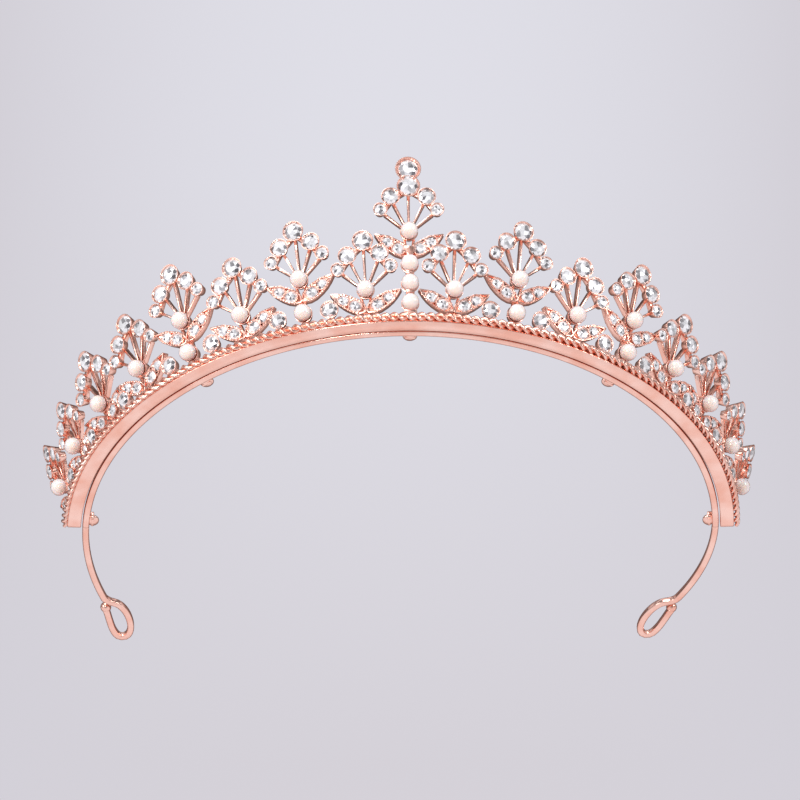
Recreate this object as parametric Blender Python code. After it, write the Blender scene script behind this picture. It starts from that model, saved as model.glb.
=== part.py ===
"""Bridal tiara: a flat curved base with seventeen fan-shaped sprays, held on a narrow headband strip.

The tiara lies on its base: +Z is up along the crest, -Y is the front, and X runs from ear to ear.
Lengths are in millimetres and angles in degrees until MM turns them into metres.
"""

import math

import bmesh
import bpy
import numpy as np
from mathutils import Matrix, Vector

MM = 0.001

# ---- Driving dimensions ----
HALF_WIDTH = 68.5  # crest line, middle to side
HALF_DEPTH = 65.0  # crest line, middle to front
CENTRE_Y = 21.8  # where the ellipse of the crest line has its middle, so that the whole box is centred
FLARE = 20.5  # the crest leans outwards by this much
CREST_HALF_LENGTH = 102.5  # along the crest line, from the front to either end of the base
FIRST_SPACING = 8.7  # centre spray to its neighbours
SPACING = 12.7  # every other spray to the next
SPRAYS_PER_SIDE = 8
END_SPRAYS = (7, 8)  # these are smaller
END_SCALE = 0.87
HIGH_SPRAYS = (2, 4)  # these stand on an extra pearl
CREST_FOOT_Z = 2.95  # where the crest surface meets the crest line

BASE_HEIGHT = 1.9
BASE_INNER, BASE_OUTER = -2.1, 0.75  # across the base, from the crest line
ROPE_INNER, ROPE_OUTER = 1.05, 1.95
ROPE_HEIGHT = 2.05
STRIP_HEIGHT = 1.4
STRIP_WIDTH = 1.4
STRIP_MIDDLE = -3.1
ARM_START = 102.8  # along the crest line, where the free arms leave the base
ARM_END = {-1: 127.5, 1: 129.0}  # where each arm starts to curl into its loop: left, right
ARM_SET = {-1: 0.0, 1: 2.4}  # how far each arm's end is sprung inwards
LOOP_THICKNESS = 1.4
GAP = 0.3

PEARL_RADIUS = 1.75
PEARL_FORWARD = 1.4  # pearl centres stand this far in front of the crest surface
LOW_PEARL, HIGH_PEARL, CENTRE_PEARL = 5.2, 9.4, 17.5
COLUMN_PEARLS = (1.95, 6.2, 10.4)
FOOT_BOTTOM = -0.9
CUP_BACK, CUP_FRONT = -1.6, -0.9
STEM_BACK, STEM_FRONT = -1.1, -0.1
SETTING_FRONT, STONE_FRONT = 0.9, 1.5
BASE_STONE_RADIUS, BASE_STONE_HEIGHT = 1.65, 1.5
BASE_STONE_FROM_HIGH = 5.3

# One fan: (distance from its pearl, angle from upright, setting radius)
FAN = ((10.7, 0, 2.2), (8.4, -23, 1.95), (8.4, 23, 1.95), (7.2, -48, 1.5), (7.2, 48, 1.5))
CENTRE_FAN = (
    (13.8, 0, 2.65),
    (10.0, 0, 2.4),
    (8.5, -25.5, 1.95),
    (8.5, 25.5, 1.95),
    (7.5, -50, 1.5),
    (7.5, 50, 1.5),
)
LARGE_SETTING, SMALL_SETTING = 2.0, 1.7  # radii that set how finely a setting is made
LEAF_LENGTH, LEAF_WIDTH, LEAF_FRONT = 7.2, 2.7, 0.3

# The loop at an arm's end: (along the arm, towards the inside), from the arm's end round to its tip
LOOP_ROUTE = (
    (1.2, 0.7),
    (2.6, 2.2),
    (4.8, 3.0),
    (7.6, 3.15),
    (10.4, 2.7),
    (12.4, 1.7),
    (13.1, 0.4),
    (12.3, -0.8),
    (10.0, -1.15),
    (7.2, -1.0),
    (4.6, -0.75),
    (3.4, -0.7),
)
LOOP_TURN = -4.0  # the loop lies this much straighter than the arm that it ends

TIE_ARCS = {"centre": 0.0, "left": -46.8, "right": 46.8, "left_end": -100.8, "right_end": 100.8}
TIE_HALF_WIDTH = 1.1


# ---- The crest line ----
def crest_table():
    """Points down the right half of the ellipse, with the length of the line up to each."""
    angles = np.linspace(0, math.pi, 2001)
    x = HALF_WIDTH * np.sin(angles)
    y = -HALF_DEPTH * np.cos(angles)
    steps = np.hypot(np.diff(x), np.diff(y))
    return np.concatenate([[0], np.cumsum(steps)]), angles


CREST_ARCS, CREST_ANGLES = crest_table()


def crest_at(arc):
    """(point, direction towards +X, outward direction) on the crest line at a signed length from the front."""
    angle = math.copysign(np.interp(abs(arc), CREST_ARCS, CREST_ANGLES), arc)
    point = Vector((HALF_WIDTH * math.sin(angle), CENTRE_Y - HALF_DEPTH * math.cos(angle), 0))
    along = Vector((HALF_WIDTH * math.cos(angle), HALF_DEPTH * math.sin(angle), 0)).normalized()
    return point, along, along.cross(Vector((0, 0, 1)))


def crest_place(arc):
    """Matrix from a spray's own axes to the tiara: x along the band, y up the crest, z out of its face."""
    point, along, outward = crest_at(arc)
    lean = math.radians(FLARE)
    up = outward * math.sin(lean) + Vector((0, 0, math.cos(lean)))
    facing = along.cross(up)
    place = Matrix((along, up, facing)).transposed().to_4x4()
    place.translation = point + Vector((0, 0, CREST_FOOT_Z))
    return place


# ---- Mesh helpers ----
def clear_scene():
    for item in list(bpy.data.objects):
        bpy.data.objects.remove(item)


def make_material(name, colour, metallic, roughness):
    material = bpy.data.materials.new(name)
    material.use_nodes = True
    shader = material.node_tree.nodes["Principled BSDF"]
    shader.inputs["Base Color"].default_value = (*colour, 1)
    shader.inputs["Metallic"].default_value = metallic
    shader.inputs["Roughness"].default_value = roughness
    return material


def skin(rings):
    """A mesh through rings of points in millimetres, closed by a face at either end."""
    bm = bmesh.new()
    rows = [[bm.verts.new(Vector(point) * MM) for point in ring] for ring in rings]
    for first, second in zip(rows, rows[1:]):
        for i in range(len(first)):
            j = (i + 1) % len(first)
            bm.faces.new((first[i], first[j], second[j], second[i]))
    bm.faces.new(rows[0])
    bm.faces.new(rows[-1])
    bmesh.ops.recalc_face_normals(bm, faces=bm.faces)
    mesh = bpy.data.meshes.new("skin")
    bm.to_mesh(mesh)
    bm.free()
    return mesh


def add_object(name, mesh, material, place=None, smooth_angle=30):
    item = bpy.data.objects.new(name, mesh)
    bpy.context.scene.collection.objects.link(item)
    if not mesh.materials:
        mesh.materials.append(material)
    mesh.shade_smooth()
    mesh.set_sharp_from_angle(angle=math.radians(smooth_angle))
    if place is not None:
        matrix = place.copy()
        matrix.translation = place.translation * MM
        item.matrix_world = matrix
    return item


def turned(centre, profile, sides):
    """A round piece that faces out of the crest: profile holds (radius, height out of the surface)."""
    rings = []
    for radius, out in profile:
        angles = [2 * math.pi * (i + 0.5) / sides for i in range(sides)]
        rings.append([(centre[0] + radius * math.sin(a), centre[1] + radius * math.cos(a), out) for a in angles])
    return skin(rings)


def bar(start, end, start_width, end_width, back, front):
    """A flat bar in the crest surface between two points."""
    a, b = Vector((*start, 0)), Vector((*end, 0))
    side = (b - a).normalized().cross(Vector((0, 0, 1)))
    rings = []
    for point, width in ((a, start_width), (b, end_width)):
        corners = ((-1, back), (1, back), (1, front), (-1, front))
        rings.append([point + side * (sign * width / 2) + Vector((0, 0, z)) for sign, z in corners])
    return skin(rings)


def leaf(root, angle, length):
    """A pointed leaf that grows from its root at an angle above the band."""
    widths = ((0, 0.25), (0.3, 1), (0.72, 0.8), (1, 0.12))
    tilt = Matrix.Rotation(math.radians(angle), 3, "Z")
    outline = [(along * length, wide * LEAF_WIDTH / 2) for along, wide in widths]
    outline += [(x, -y) for x, y in reversed(outline)]
    rings = []
    for out in (STEM_BACK, LEAF_FRONT):
        rings.append([Vector((*root, out)) + tilt @ Vector((x, y, 0)) for x, y in outline])
    return skin(rings)


def fuse(name, meshes):
    """One mesh from overlapping closed ones, by a Boolean union."""
    helpers = bpy.data.collections.new(name + "_pieces")
    bpy.context.scene.collection.children.link(helpers)
    body = bpy.data.objects.new(name, meshes[0])
    bpy.context.scene.collection.objects.link(body)
    for mesh in meshes[1:]:
        helpers.objects.link(bpy.data.objects.new(name + "_piece", mesh))
    union = body.modifiers.new("Union", "BOOLEAN")
    union.operation = "UNION"
    union.operand_type = "COLLECTION"
    union.collection = helpers
    union.solver = "EXACT"
    graph = bpy.context.evaluated_depsgraph_get()
    fused = bpy.data.meshes.new_from_object(body.evaluated_get(graph))
    fused.name = name
    for item in [body, *helpers.objects]:
        bpy.data.objects.remove(item)
    bpy.data.collections.remove(helpers)
    return fused


# ---- Sprays ----
def polar(distance, angle, centre_height):
    turn = math.radians(angle)
    return distance * math.sin(turn), centre_height + distance * math.cos(turn)


def setting(centre, radius):
    """A stone in its cup: the large ones show the stone's crown, the small ones are plain cups."""
    profile = [(radius * 0.8, STEM_BACK), (radius, SETTING_FRONT)]
    if radius > LARGE_SETTING:
        profile.append((radius * 0.55, STONE_FRONT))
    return turned(centre, profile, 6 if radius < SMALL_SETTING else 8)


def spray_mesh(name, pearl_height, fan, vertex_height, leaf_angle):
    """A fan of stones on stems above a pearl's cup, with a pair of leaves and a foot below."""
    cup = (0, pearl_height)
    pieces = [turned(cup, ((PEARL_RADIUS - 0.3, CUP_BACK), (PEARL_RADIUS, CUP_FRONT)), 8)]
    for distance, angle, radius in fan:
        pieces.append(setting(polar(distance, angle, pearl_height), radius))
        if distance <= FAN[0][0]:
            near = polar(PEARL_RADIUS - 0.3, angle, pearl_height)
            far = polar(distance - radius * 0.6, angle, pearl_height)
            pieces.append(bar(near, far, 0.75, 0.95, STEM_BACK, STEM_FRONT))
    vertex = (0, vertex_height)
    pieces.append(turned(vertex, ((0.7, CUP_BACK), (0.7, STEM_FRONT)), 6))
    for side in (-1, 1):
        top = (side * 0.85, pearl_height - PEARL_RADIUS * 0.6)
        pieces.append(bar((side * 0.35, vertex_height), top, 0.6, 0.6, CUP_BACK, CUP_FRONT - 0.05))
        pieces.append(leaf(vertex, 90 - side * (90 - leaf_angle), LEAF_LENGTH))
    pieces.append(bar((0, FOOT_BOTTOM), (0, vertex_height), 1.7, 1.1, CUP_BACK + 0.07, CUP_FRONT - 0.1))
    return fuse(name, pieces)


def spray_kind(index):
    """(kind, height of its pearl) of the spray that is index places from the centre."""
    if index == 0:
        return "centre", CENTRE_PEARL
    return ("high", HIGH_PEARL) if abs(index) in HIGH_SPRAYS else ("low", LOW_PEARL)


def spray_arc(index):
    if index == 0:
        return 0.0
    return math.copysign(FIRST_SPACING + (abs(index) - 1) * SPACING, index)


def side_name(index):
    return "centre" if index == 0 else f"{'left' if index < 0 else 'right'}_{abs(index)}"


def end_scale(index):
    """Shrinks an end spray about its foot on the base."""
    if abs(index) not in END_SPRAYS:
        return Matrix.Identity(4)
    foot = Matrix.Translation((0, FOOT_BOTTOM * (1 - END_SCALE), 0))
    return foot @ Matrix.Scale(END_SCALE, 4)


def add_sprays(metal):
    meshes = {
        "centre": spray_mesh("centre_spray", CENTRE_PEARL, CENTRE_FAN, CENTRE_PEARL - 5.0, 33),
        "high": spray_mesh("high_spray", HIGH_PEARL, FAN, HIGH_PEARL - 4.5, 32),
        "low": spray_mesh("low_spray", LOW_PEARL, FAN, 0.7, 30),
    }
    for index in range(-SPRAYS_PER_SIDE, SPRAYS_PER_SIDE + 1):
        kind, _ = spray_kind(index)
        place = crest_place(spray_arc(index)) @ end_scale(index)
        add_object(f"spray_{side_name(index)}", meshes[kind].copy(), metal, place)


# ---- Pearls ----
def pearl_mesh():
    bm = bmesh.new()
    bmesh.ops.create_icosphere(bm, subdivisions=2, radius=PEARL_RADIUS * MM)
    mesh = bpy.data.meshes.new("pearl")
    bm.to_mesh(mesh)
    bm.free()
    return mesh


def add_pearl(name, index, height, pearl, material):
    """Pearls keep their full size on the smaller end sprays, so only their height shrinks."""
    scaled = end_scale(index) @ Vector((0, height, 0))
    place = crest_place(spray_arc(index)) @ Matrix.Translation((0, scaled.y, PEARL_FORWARD))
    add_object(name, pearl.copy(), material, place, 60)


def add_pearls(material):
    pearl = pearl_mesh()
    for index in range(-SPRAYS_PER_SIDE, SPRAYS_PER_SIDE + 1):
        _, height = spray_kind(index)
        add_pearl(f"pearl_{side_name(index)}", index, height, pearl, material)
        if abs(index) in HIGH_SPRAYS:
            add_pearl(f"lower_pearl_{side_name(index)}", index, COLUMN_PEARLS[0], pearl, material)
    for place_name, height in zip(("bottom", "middle", "top"), COLUMN_PEARLS):
        add_pearl(f"column_pearl_{place_name}", 0, height, pearl, material)


# ---- Base, rope edge and headband ----
def band(section, start, end, steps):
    """A section of (outward, up) corners swept along the crest line."""
    rings = []
    for i in range(steps + 1):
        point, _, outward = crest_at(start + (end - start) * i / steps)
        rings.append([point + outward * across + Vector((0, 0, up)) for across, up in section])
    return skin(rings)


def base_stone_arcs():
    """Where the single stones stand between sprays, on the right side."""
    arcs = []
    for index in range(1, SPRAYS_PER_SIDE):
        low, high = spray_arc(index), spray_arc(index + 1)
        if index in HIGH_SPRAYS:
            arcs.append(low + BASE_STONE_FROM_HIGH)
        elif index + 1 in HIGH_SPRAYS:
            arcs.append(high - BASE_STONE_FROM_HIGH)
        else:
            arcs.append((low + high) / 2)
    return arcs


def base_setting(arc):
    """A single stone's cup on a short post that sinks into the base."""
    centre = (0, BASE_STONE_HEIGHT)
    cup = setting(centre, BASE_STONE_RADIUS)
    post = bar((0, FOOT_BOTTOM - 0.8), centre, 1.4, 1.0, CUP_FRONT, STEM_FRONT)
    place = crest_place(arc)
    place.translation *= MM
    for mesh in (cup, post):
        mesh.transform(place)
    return [cup, post]


def add_base(metal):
    section = (
        (BASE_INNER, 0),
        (BASE_OUTER, 0),
        (BASE_OUTER, BASE_HEIGHT),
        (BASE_INNER, BASE_HEIGHT),
    )
    pieces = [band(section, -CREST_HALF_LENGTH, CREST_HALF_LENGTH, 72)]
    for arc in base_stone_arcs():
        for side in (-1, 1):
            pieces += base_setting(side * arc)
    add_object("crest_base", fuse("crest_base", pieces), metal)


def add_rope_edge(metal):
    middle = (ROPE_INNER + ROPE_OUTER) / 2
    section = (
        (ROPE_INNER, 0.15),
        (middle + 0.2, 0),
        (ROPE_OUTER, 0.45),
        (ROPE_OUTER, ROPE_HEIGHT - 0.45),
        (middle + 0.2, ROPE_HEIGHT),
        (ROPE_INNER, ROPE_HEIGHT - 0.15),
    )
    add_object("rope_edge", band(section, -CREST_HALF_LENGTH, CREST_HALF_LENGTH, 72), metal)


def strip_section(width):
    half = width / 2
    soft = 0.25
    return (
        (-half, soft),
        (-half + soft, 0),
        (half - soft, 0),
        (half, soft),
        (half, STRIP_HEIGHT - soft),
        (half - soft, STRIP_HEIGHT),
        (-half + soft, STRIP_HEIGHT),
        (-half, STRIP_HEIGHT - soft),
    )


def curve_through(points, steps):
    """Points on a smooth Catmull-Rom curve through a route."""
    route = [2 * points[0] - points[1], *points, 2 * points[-1] - points[-2]]
    found = []
    for a, b, c, d in zip(route, route[1:], route[2:], route[3:]):
        for i in range(steps):
            t = i / steps
            found.append(
                0.5 * (2 * b + (c - a) * t + (2 * a - 5 * b + 4 * c - d) * t * t + (3 * b - a - 3 * c + d) * t**3)
            )
    return [*found, points[-1]]


def arm_route(side):
    """The middle of a free arm and its loop, as points in plan, with the strip's width at each."""
    points, widths = [], []
    steps = 12
    for i in range(steps + 1):
        arc = ARM_START + GAP + (ARM_END[side] - ARM_START - GAP) * i / steps
        point, _, outward = crest_at(side * arc)
        sprung = ARM_SET[side] * (i / steps) ** 1.6
        points.append(point + outward * (STRIP_MIDDLE - sprung))
        widths.append(STRIP_WIDTH)
    forward = (points[-1] - points[-2]).normalized()
    inward = forward.cross(Vector((0, 0, -side)))
    turn = Matrix.Rotation(math.radians(side * LOOP_TURN), 3, "Z")
    forward, inward = turn @ forward, turn @ inward
    end = points[-1]
    loop = [end, *(end + forward * ahead + inward * across for ahead, across in LOOP_ROUTE)]
    hook = curve_through(loop, 3)[1:]
    return points + hook, widths + [LOOP_THICKNESS] * len(hook)


def swept(points, widths):
    """The strip's section carried along a route in plan."""
    rings = []
    for i, (point, width) in enumerate(zip(points, widths)):
        before, after = points[max(i - 1, 0)], points[min(i + 1, len(points) - 1)]
        across = (after - before).normalized().cross(Vector((0, 0, 1)))
        rings.append([point + across * out + Vector((0, 0, up)) for out, up in strip_section(width)])
    return skin(rings)


def add_headband(metal):
    section = [(STRIP_MIDDLE + out, up) for out, up in strip_section(STRIP_WIDTH)]
    add_object("headband_middle", band(section, -ARM_START, ARM_START, 64), metal)
    for name, side in (("left", -1), ("right", 1)):
        points, widths = arm_route(side)
        arm = add_object(f"headband_{name}_arm", swept(points, widths), metal)
        pivot = arm_pivot(side)
        arm.data.transform(Matrix.Translation(-pivot * MM))
        arm.location = pivot * MM


def arm_pivot(side):
    """Where an arm flexes: on the strip, just past the end of the part that is tied to the base."""
    point, _, outward = crest_at(side * ARM_START)
    return point + outward * STRIP_MIDDLE


def add_ties(metal):
    """Saddles that hold the strip against the base: a plate over it and a lip down its inner side."""
    inner = STRIP_MIDDLE - STRIP_WIDTH / 2 - GAP
    top = STRIP_HEIGHT + GAP
    thick = 0.6
    section = (
        (inner - thick, 0.1),
        (inner, 0.1),
        (inner, top),
        (BASE_INNER - 0.7, top),
        (BASE_INNER - 0.7, top + thick),
        (inner - thick, top + thick),
    )
    for name, arc in TIE_ARCS.items():
        add_object(f"tie_{name}", band(section, arc - TIE_HALF_WIDTH, arc + TIE_HALF_WIDTH, 1), metal)


clear_scene()
rose_gold = make_material("rose_gold_plating", (0.83, 0.47, 0.36), 1.0, 0.22)
pearl_coat = make_material("pearl_coat", (0.96, 0.84, 0.78), 0.0, 0.25)
add_base(rose_gold)
add_rope_edge(rose_gold)
add_headband(rose_gold)
add_ties(rose_gold)
add_sprays(rose_gold)
add_pearls(pearl_coat)
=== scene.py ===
# %% [markdown]
# # A bridal tiara with pearls and rhinestones
#
# The tiara is a flat curved base with seventeen fan-shaped sprays on it, cast in metal and plated in
# rose gold. A twisted wire edge runs along the front of the base, and a narrow headband strip, tied
# to its inner side, ends in a curled loop behind each ear. This lesson models every piece once, lays
# it along the curve of the base, and then gives each finish its own material.

# %% The frame
import math

import bmesh
import bpy
from mathutils import Matrix, Quaternion, Vector


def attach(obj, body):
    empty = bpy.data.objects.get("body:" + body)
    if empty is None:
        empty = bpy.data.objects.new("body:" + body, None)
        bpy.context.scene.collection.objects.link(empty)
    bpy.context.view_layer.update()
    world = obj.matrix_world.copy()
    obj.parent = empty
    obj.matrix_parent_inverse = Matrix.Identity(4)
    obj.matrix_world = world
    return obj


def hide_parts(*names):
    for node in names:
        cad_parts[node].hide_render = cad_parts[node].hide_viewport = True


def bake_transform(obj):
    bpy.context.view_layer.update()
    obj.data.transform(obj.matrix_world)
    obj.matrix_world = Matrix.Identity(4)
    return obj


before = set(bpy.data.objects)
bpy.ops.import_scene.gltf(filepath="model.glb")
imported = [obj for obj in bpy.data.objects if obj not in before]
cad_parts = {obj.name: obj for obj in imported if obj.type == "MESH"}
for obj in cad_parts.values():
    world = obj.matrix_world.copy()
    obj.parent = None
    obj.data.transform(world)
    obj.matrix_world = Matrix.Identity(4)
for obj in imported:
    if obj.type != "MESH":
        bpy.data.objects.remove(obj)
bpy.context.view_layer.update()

MM = 0.001

# %% [markdown]
# ## The crest line
#
# Everything stands on one curve: half an ellipse in plan, seen from above. Working along that curve
# by its length is how the maker spaces the sprays too, so the helpers below turn a length from the
# front, in millimetres, into a point, a direction and a place.

# %% The crest line's sizes
HALF_WIDTH, HALF_DEPTH, CENTRE_Y = 68.5, 65.0, 21.8  # the ellipse
FLARE = 20.5  # degrees that the sprays lean outwards
CREST_FOOT_Z = 2.95
CREST_HALF_LENGTH = 102.5
FIRST_SPACING, SPACING = 8.7, 12.7
SPRAYS_PER_SIDE = 8
END_SPRAYS, END_SCALE = (7, 8), 0.87
HIGH_SPRAYS = (2, 4)
FOOT_BOTTOM = -0.9
TABLE_STEPS = 4000


def crest_table():
    """The ellipse's right half as (length from the front, angle) pairs."""
    pairs, length, last = [(0.0, 0.0)], 0.0, Vector((0, -HALF_DEPTH))
    for step in range(1, TABLE_STEPS + 1):
        angle = math.pi * step / TABLE_STEPS
        point = Vector((HALF_WIDTH * math.sin(angle), -HALF_DEPTH * math.cos(angle)))
        length += (point - last).length
        pairs.append((length, angle))
        last = point
    return pairs


CREST_TABLE = crest_table()


def crest_angle(arc):
    """The ellipse's angle at a signed length from the front."""
    low, high = 0, TABLE_STEPS
    while high - low > 1:
        middle = (low + high) // 2
        low, high = (middle, high) if CREST_TABLE[middle][0] <= abs(arc) else (low, middle)
    (before, start), (after, end) = CREST_TABLE[low], CREST_TABLE[high]
    return math.copysign(start + (end - start) * (abs(arc) - before) / (after - before), arc)


def crest_at(arc):
    """(point, direction towards +X, outward direction) on the crest line."""
    angle = crest_angle(arc)
    point = Vector((HALF_WIDTH * math.sin(angle), CENTRE_Y - HALF_DEPTH * math.cos(angle), 0))
    along = Vector((HALF_WIDTH * math.cos(angle), HALF_DEPTH * math.sin(angle), 0)).normalized()
    return point, along, along.cross(Vector((0, 0, 1)))


def in_metres(matrix):
    placed = matrix.copy()
    placed.translation *= MM
    return placed


def crest_place(arc):
    """A spray's own axes: x along the band, y up the crest, z out of its face."""
    point, along, outward = crest_at(arc)
    lean = math.radians(FLARE)
    up = outward * math.sin(lean) + Vector((0, 0, math.cos(lean)))
    place = Matrix((along, up, along.cross(up))).transposed().to_4x4()
    place.translation = point + Vector((0, 0, CREST_FOOT_Z))
    return place


def spray_arc(index):
    return math.copysign(FIRST_SPACING + (abs(index) - 1) * SPACING, index) if index else 0.0


def side_name(index):
    return f"{'left' if index < 0 else 'right'}_{abs(index)}" if index else "centre"


def end_scale(index):
    """The end sprays are smaller, shrunk about the foot that stands on the base."""
    if abs(index) not in END_SPRAYS:
        return Matrix.Identity(4)
    return Matrix.Translation((0, FOOT_BOTTOM * (1 - END_SCALE), 0)) @ Matrix.Scale(END_SCALE, 4)


print("crest line:", round(2 * CREST_HALF_LENGTH), "mm, sprays at", spray_arc(1), "to", spray_arc(8))

# %% [markdown]
# ## Expressions for shader nodes
#
# A finish is a small sum of noises and masks. Written as nodes that is hard to read, so one class
# wraps a node's output: adding or multiplying two of them adds the Math node for it, and any other
# kind of node comes from one method that first takes the node's settings and then its sockets.

# %% A socket that can be added and multiplied
MIX_SOCKETS, MIX_RESULT = (0, 6, 7), 2  # the Mix node's factor and its two colours, and its colour output


class Wire:
    """A node's output that works in sums."""

    def __init__(self, tree, output=None):
        self.tree, self.output = tree, output

    def node(self, kind, settings=None, sockets=None, out=0):
        """A new node: first its settings, and then the values or links of its sockets."""
        made = self.tree.nodes.new(kind)
        for name, value in (settings or {}).items():
            setattr(made, name, value)
        for name, value in (sockets or {}).items():
            if isinstance(value, Wire):
                self.tree.links.new(value.output, made.inputs[name])
            else:
                made.inputs[name].default_value = value
        return Wire(self.tree, made.outputs[out] if made.outputs else None)

    def maths(self, operation, first, second):
        return self.node("ShaderNodeMath", {"operation": operation}, {0: first, 1: second})

    def __add__(self, other):
        return self.maths("ADD", self, other)

    def __radd__(self, other):
        return self.maths("ADD", other, self)

    def __sub__(self, other):
        return self.maths("SUBTRACT", self, other)

    def __rsub__(self, other):
        return self.maths("SUBTRACT", other, self)

    def __mul__(self, other):
        return self.maths("MULTIPLY", self, other)

    def __rmul__(self, other):
        return self.maths("MULTIPLY", other, self)

    def between(self, low, high):
        """0 below low, 1 above high and a straight line between them."""
        return self.node("ShaderNodeMapRange", None, {"Value": self, "From Min": low, "From Max": high})

    def tint(self, first, second):
        """A colour that goes from the first to the second as this goes from 0 to 1."""
        colours = [value if isinstance(value, Wire) else (*value, 1) for value in (first, second)]
        sockets = dict(zip(MIX_SOCKETS, (self, *colours)))
        return self.node("ShaderNodeMix", {"data_type": "RGBA"}, sockets, out=MIX_RESULT)


def new_material(name):
    """(material, its empty tree as a wire) with the old nodes gone."""
    material = bpy.data.materials.new(name)
    material.use_nodes = True
    material.node_tree.nodes.clear()
    return material, Wire(material.node_tree)


def noise(wire, scale, detail=3.0, roughness=0.55, stretch=(1, 1, 1)):
    """Noise on the piece's own coordinates; scale is in waves for each metre."""
    place = wire.node("ShaderNodeTexCoord", out="Object")
    turned = wire.node("ShaderNodeMapping", None, {"Vector": place, "Scale": stretch})
    sockets = {"Vector": turned, "Scale": scale, "Detail": detail, "Roughness": roughness}
    return wire.node("ShaderNodeTexNoise", None, sockets)


def bump(wire, height, strength, distance):
    sockets = {"Height": height, "Strength": strength, "Distance": distance}
    return wire.node("ShaderNodeBump", None, sockets)


def finish(wire, sockets):
    """One Principled shader on the material's output."""
    shader = wire.node("ShaderNodeBsdfPrincipled", None, sockets)
    wire.node("ShaderNodeOutputMaterial", None, {"Surface": shader})


print("shader helpers ready")

# %% [markdown]
# ## Rose gold plating
#
# Rose gold is a thin copper-rich plating over cast metal. Its colour barely changes, but it is never
# even: the plating is a little deeper where it pooled, the polish leaves faint hairlines, and the
# casting below shows as a soft unevenness. The smooth strip and the cast sprays share the colour, so
# one function makes both and only the polish and the unevenness differ.

# %% Rose gold
PALE_ROSE, DEEP_ROSE = (0.97, 0.63, 0.53), (0.91, 0.48, 0.37)


def rose_gold(name, polish, wear, unevenness, waves):
    """polish and wear are the lowest and highest roughness, unevenness the bump's height in metres."""
    material, wire = new_material(name)
    plating_tone_and_pearl_bounce = noise(wire, 160, 2.0).between(0.35, 0.68)
    hairline = noise(wire, 2600, 2.0, 0.5, (1, 1, 0.12)).between(0.4, 0.75)
    grain = noise(wire, waves, 4.0)
    finish(
        wire,
        {
            "Base Color": plating_tone_and_pearl_bounce.tint(PALE_ROSE, DEEP_ROSE),
            "Metallic": 1.0,
            "Roughness": polish + (wear - polish) * (0.6 * hairline + 0.4 * plating_tone_and_pearl_bounce),
            "Normal": bump(wire, grain + 0.35 * hairline, 0.6, unevenness),
        },
    )
    return material


POLISHED = rose_gold("polished_rose_gold", 0.10, 0.24, 0.00003, 500)
CAST = rose_gold("cast_rose_gold", 0.12, 0.30, 0.00006, 900)
print("made", POLISHED.name, "and", CAST.name)

# %% [markdown]
# ## Pearl coat
#
# These are glass beads with a pearl coat: a cream body that lets a little light in, a peach tint,
# and a clear shiny skin. A soft noise clouds the tint as a real blush, and the rest of it is a
# painted reflection: the warm light that the rose gold below sends up is painted on a pearl's low
# side, which its mesh keeps as an attribute. A thin film on the skin gives the faint play of colour
# that tells a pearl from a plastic ball.

# %% Pearl coat
# Peach: a real blush that a noise clouds, and the painted warm reflection on each pearl's low side
CREAM, PEACH_BLUSH_AND_BOUNCE = (0.98, 0.88, 0.84), (0.96, 0.66, 0.55)


def pearl_coat():
    material, wire = new_material("pearl_coat")
    cloud = noise(wire, 420, 3.0).between(0.4, 0.75)
    # Painted reflection: warm light from the rose gold below, full on a pearl's low side
    plating_tone_and_pearl_bounce = wire.node("ShaderNodeAttribute", {"attribute_name": "plating_tone_and_pearl_bounce"}, out="Fac")
    finish(
        wire,
        {
            # Cream, tinted by random blush and by the painted warm reflection on the low side
            "Base Color": (0.7 * plating_tone_and_pearl_bounce + 0.25 * cloud).tint(CREAM, PEACH_BLUSH_AND_BOUNCE),
            "Roughness": 0.22 + 0.12 * cloud,
            "Normal": bump(wire, noise(wire, 1500), 0.25, 0.00002),
            "Subsurface Weight": 0.25,
            "Subsurface Radius": (0.0012, 0.0007, 0.0005),
            "Subsurface Scale": 1.0,
            "Coat Weight": 1.0,
            "Coat Roughness": 0.14,
            "Thin Film Thickness": 420.0,
        },
    )
    return material


PEARL = pearl_coat()
print("made", PEARL.name)

# %% [markdown]
# ## Rhinestones
#
# A rhinestone is cut glass with a foil back, so it works like a cluster of tiny mirrors. Its facets
# send back different parts of the room, some bright and some dark. Real glass with a foil behind it
# needs many light bounces and still comes out noisy at this size, so those bright and dark
# reflections are painted on instead: the facets here are clear mirrors, each of a painted strength
# that the stone's mesh carries as an attribute. The brightest facets are painted to glow a little,
# for the light that the foil sends back through the glass.

# %% Rhinestone
# The colours of the painted reflections on the darkest and the brightest facets
DARK_FACET_REFLECTION, BRIGHT_FACET_REFLECTION = (0.16, 0.15, 0.16), (0.96, 0.96, 0.97)


def rhinestone():
    material, wire = new_material("rhinestone")
    facet_reflection = wire.node("ShaderNodeAttribute", {"attribute_name": "facet_reflection"}, out="Fac")
    cloud = noise(wire, 2500, 2.0)
    finish(
        wire,
        {
            # Painted reflections: the facets' strengths between the dark and the bright colour
            "Base Color": facet_reflection.tint(DARK_FACET_REFLECTION, BRIGHT_FACET_REFLECTION),
            "Metallic": 0.45,
            "Roughness": 0.03 + 0.05 * cloud,
            "Coat Weight": 0.7 + 0.3 * facet_reflection,
            "Coat Roughness": 0.02,
            # Painted glow: the brightest facets give a little light of their own
            "Emission Color": facet_reflection.between(0.6, 1.0).tint((0, 0, 0), (0.9, 0.9, 0.95)),
            "Emission Strength": 0.12,
        },
    )
    return material


STONE = rhinestone()
print("made", STONE.name)

# %% [markdown]
# ## Hands for modelling
#
# Modelling by operator means: add a primitive, choose some of its faces, edges or points, and push
# them. An operator acts on everything that is selected, so each helper first lets go of everything
# else. Faces and points are chosen in code, by where they are.

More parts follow.
